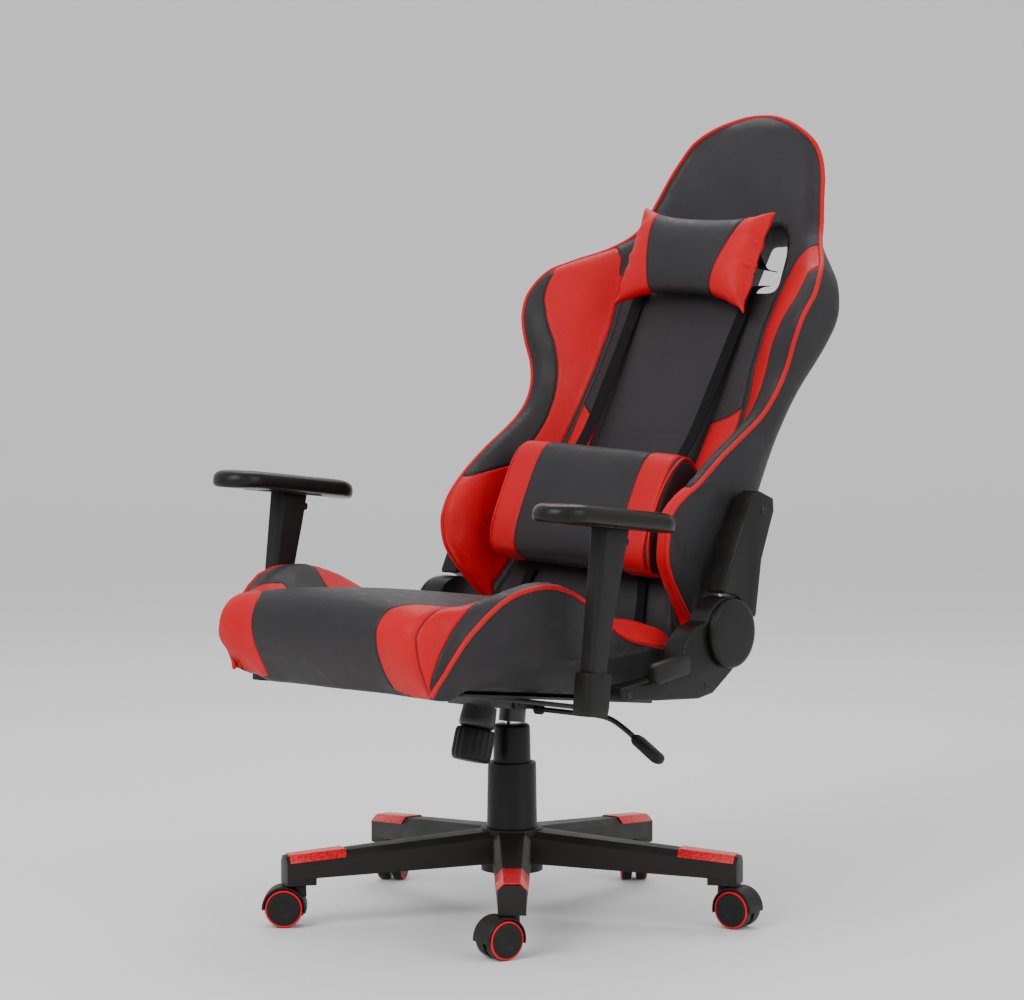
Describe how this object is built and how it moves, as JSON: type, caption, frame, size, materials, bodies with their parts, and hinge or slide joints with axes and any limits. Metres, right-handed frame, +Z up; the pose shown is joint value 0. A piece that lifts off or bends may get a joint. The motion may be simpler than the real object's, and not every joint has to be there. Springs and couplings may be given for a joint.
{
  "type": "gaming chair",
  "caption": "High-back reclining swivel chair with winged back, bucket seat, height-adjustable arms, gas lift and a five-leg base on twin-wheel casters.",
  "frame": {"origin": "on the floor under the middle of the chair's box; the column axis is 96 mm in front of it, towards -Y", "axes": "+Z up, the sitter faces -Y, +X is the sitter's left"},
  "size_m": [0.7288, 1.0363, 1.2115],
  "materials": {
    "nylon_black": "satin moulded nylon",
    "moulded_black": "fine moulded grain",
    "pad_black": "soft foam skin",
    "steel_black": "black powder coat",
    "chrome": "plated",
    "leather_black": "coated synthetic leather, charcoal",
    "leather_red": "coated synthetic leather, red",
    "red_plastic": "embossed",
    "wheel_black": "satin"
  },
  "bodies": {
    "base": {"star_base": "nylon_black", "leg_pad_1": "red_plastic", "leg_pad_2": "red_plastic", "leg_pad_3": "red_plastic", "leg_pad_4": "red_plastic", "leg_pad_5": "red_plastic", "gas_cylinder": "steel_black", "column_cover_lower": "moulded_black"},
    "caster_1": {"caster_stem_1": "chrome", "caster_hood_1": "moulded_black"},
    "wheel_left_1": {"caster_wheel_left_1": "wheel_black"},
    "wheel_right_1": {"caster_wheel_right_1": "wheel_black"},
    "caster_2": {"caster_stem_2": "chrome", "caster_hood_2": "moulded_black"},
    "wheel_left_2": {"caster_wheel_left_2": "wheel_black"},
    "wheel_right_2": {"caster_wheel_right_2": "wheel_black"},
    "caster_3": {"caster_stem_3": "chrome", "caster_hood_3": "moulded_black"},
    "wheel_left_3": {"caster_wheel_left_3": "wheel_black"},
    "wheel_right_3": {"caster_wheel_right_3": "wheel_black"},
    "caster_4": {"caster_stem_4": "chrome", "caster_hood_4": "moulded_black"},
    "wheel_left_4": {"caster_wheel_left_4": "wheel_black"},
    "wheel_right_4": {"caster_wheel_right_4": "wheel_black"},
    "caster_5": {"caster_stem_5": "chrome", "caster_hood_5": "moulded_black"},
    "wheel_left_5": {"caster_wheel_left_5": "wheel_black"},
    "wheel_right_5": {"caster_wheel_right_5": "wheel_black"},
    "lift": {"gas_piston": "chrome", "column_cover_upper": "moulded_black"},
    "mechanism": {"tilt_housing": "steel_black", "tension_cup": "moulded_black"},
    "tension_knob": {"tension_knob": "moulded_black"},
    "lever_bush": {"lever_bush": "moulded_black"},
    "height_lever": {"height_lever_rod": "steel_black", "height_lever_grip": "moulded_black"},
    "seat": {"tilt_plate": "steel_black", "seat_frame": "steel_black", "seat_cushion": "leather_black", "arm_bracket_left": "steel_black", "arm_bracket_right": "steel_black", "arm_sleeve_left": "moulded_black", "arm_sleeve_right": "moulded_black", "recliner_cover_left": "moulded_black", "recliner_cover_right": "moulded_black", "recliner_cap_left": "moulded_black", "recliner_cap_right": "moulded_black"},
    "recline_lever": {"recline_lever": "moulded_black"},
    "back": {"backrest_frame": "steel_black", "backrest": "leather_black", "back_bracket_left": "moulded_black", "back_bracket_right": "moulded_black"},
    "lumbar_pillow": {"lumbar_pillow": "leather_red"},
    "head_pillow": {"head_pillow": "leather_red"},
    "arm_left": {"arm_post_left": "moulded_black", "arm_pad_left": "pad_black"},
    "arm_button_left": {"arm_button_left": "moulded_black"},
    "arm_right": {"arm_post_right": "moulded_black", "arm_pad_right": "pad_black"},
    "arm_button_right": {"arm_button_right": "moulded_black"}
  },
  "joints": [
    {"name": "caster_swivel_1", "type": "hinge", "parent": "base", "child": "caster_1", "pos_m": [0.21947, -0.33975, 0.06], "axis": [0, 0, 1], "continuous": true},
    {"name": "wheel_spin_left_1", "type": "hinge", "parent": "caster_1", "child": "wheel_left_1", "pos_m": [0.21439, -0.36013, 0.028], "axis": [0.9703, -0.2419, 0], "continuous": true},
    {"name": "wheel_spin_right_1", "type": "hinge", "parent": "caster_1", "child": "wheel_right_1", "pos_m": [0.21439, -0.36013, 0.028], "axis": [0.9703, -0.2419, 0], "continuous": true},
    {"name": "caster_swivel_2", "type": "hinge", "parent": "base", "child": "caster_2", "pos_m": [0.29964, 0.03741, 0.06], "axis": [0, 0, 1], "continuous": true},
    {"name": "wheel_spin_left_2", "type": "hinge", "parent": "caster_2", "child": "wheel_left_2", "pos_m": [0.32044, 0.04033, 0.028], "axis": [-0.1392, 0.9903, 0], "continuous": true},
    {"name": "wheel_spin_right_2", "type": "hinge", "parent": "caster_2", "child": "wheel_right_2", "pos_m": [0.32044, 0.04033, 0.028], "axis": [-0.1392, 0.9903, 0], "continuous": true},
    {"name": "caster_swivel_3", "type": "hinge", "parent": "base", "child": "caster_3", "pos_m": [-0.03429, 0.2302, 0.06], "axis": [0, 0, 1], "continuous": true},
    {"name": "wheel_spin_left_3", "type": "hinge", "parent": "caster_3", "child": "wheel_left_3", "pos_m": [-0.04834, 0.24581, 0.028], "axis": [-0.7431, -0.6691, 0], "continuous": true},
    {"name": "wheel_spin_right_3", "type": "hinge", "parent": "caster_3", "child": "wheel_right_3", "pos_m": [-0.04834, 0.24581, 0.028], "axis": [-0.7431, -0.6691, 0], "continuous": true},
    {"name": "caster_swivel_4", "type": "hinge", "parent": "base", "child": "caster_4", "pos_m": [-0.32083, -0.0278, 0.06], "axis": [0, 0, 1], "continuous": true},
    {"name": "wheel_spin_left_4", "type": "hinge", "parent": "caster_4", "child": "wheel_left_4", "pos_m": [-0.33133, -0.00962, 0.028], "axis": [-0.866, -0.5, 0], "continuous": true},
    {"name": "wheel_spin_right_4", "type": "hinge", "parent": "caster_4", "child": "wheel_right_4", "pos_m": [-0.33133, -0.00962, 0.028], "axis": [-0.866, -0.5, 0], "continuous": true},
    {"name": "caster_swivel_5", "type": "hinge", "parent": "base", "child": "caster_5", "pos_m": [-0.164, -0.38006, 0.06], "axis": [0, 0, 1], "continuous": true},
    {"name": "wheel_spin_left_5", "type": "hinge", "parent": "caster_5", "child": "wheel_left_5", "pos_m": [-0.17961, -0.39411, 0.028], "axis": [0.6691, -0.7431, 0], "continuous": true},
    {"name": "wheel_spin_right_5", "type": "hinge", "parent": "caster_5", "child": "wheel_right_5", "pos_m": [-0.17961, -0.39411, 0.028], "axis": [0.6691, -0.7431, 0], "continuous": true},
    {"name": "gas_lift", "type": "slide", "parent": "base", "child": "lift", "axis": [0, 0, 1], "range_m": [-0.055, 0.025]},
    {"name": "seat_swivel", "type": "hinge", "parent": "lift", "child": "mechanism", "pos_m": [0, -0.096, 0.3], "axis": [0, 0, 1], "continuous": true},
    {"name": "tension_knob_turn", "type": "hinge", "parent": "mechanism", "child": "tension_knob", "pos_m": [0, -0.16583, 0.31783], "axis": [0, 0.2723, 0.9622], "range_deg": [-720, 720]},
    {"name": "height_lever_lift", "type": "hinge", "parent": "mechanism", "child": "lever_bush", "pos_m": [0.054, -0.09616, 0.3109], "axis": [0, -0.9936, 0.1132], "range_deg": [0, 4], "stiffness_Nm_per_rad": 6, "springref_deg": -8.59},
    {"name": "tilt_lock_slide", "type": "slide", "parent": "lever_bush", "child": "height_lever", "axis": [1, 0, 0], "range_m": [0, 0.012]},
    {"name": "seat_tilt", "type": "hinge", "parent": "mechanism", "child": "seat", "pos_m": [0, -0.13191, 0.32403], "axis": [-1, 0, 0], "range_deg": [0, 13], "stiffness_Nm_per_rad": 150, "springref_deg": -34.38},
    {"name": "back_recline", "type": "hinge", "parent": "seat", "child": "back", "pos_m": [0, 0.05811, 0.42819], "axis": [-1, 0, 0], "range_deg": [-18, 45]},
    {"name": "recline_lever_lift", "type": "hinge", "parent": "seat", "child": "recline_lever", "pos_m": [0.298, -0.06468, 0.39286], "axis": [-1, 0, 0], "range_deg": [0, 25], "stiffness_Nm_per_rad": 2, "springref_deg": -17.19},
    {"name": "arm_left_height", "type": "slide", "parent": "seat", "child": "arm_left", "axis": [0, 0.1132, 0.9936], "range_m": [-0.01, 0.055]},
    {"name": "arm_right_height", "type": "slide", "parent": "seat", "child": "arm_right", "axis": [0, 0.1132, 0.9936], "range_m": [-0.033, 0.032]},
    {"name": "arm_button_press_left", "type": "slide", "parent": "arm_left", "child": "arm_button_left", "axis": [0, -0.9936, 0.1132], "range_m": [0, 0.004], "stiffness_N_per_m": 400, "springref_m": -0.002},
    {"name": "arm_button_press_right", "type": "slide", "parent": "arm_right", "child": "arm_button_right", "axis": [0, -0.9936, 0.1132], "range_m": [0, 0.004], "stiffness_N_per_m": 400, "springref_m": -0.002},
    {"name": "lumbar_pillow_slide", "type": "slide", "parent": "back", "child": "lumbar_pillow", "axis": [0, 0.454, 0.891], "range_m": [-0.03, 0.08]},
    {"name": "head_pillow_slide", "type": "slide", "parent": "back", "child": "head_pillow", "axis": [0, 0.454, 0.891], "range_m": [-0.04, 0.06]}
  ]
}
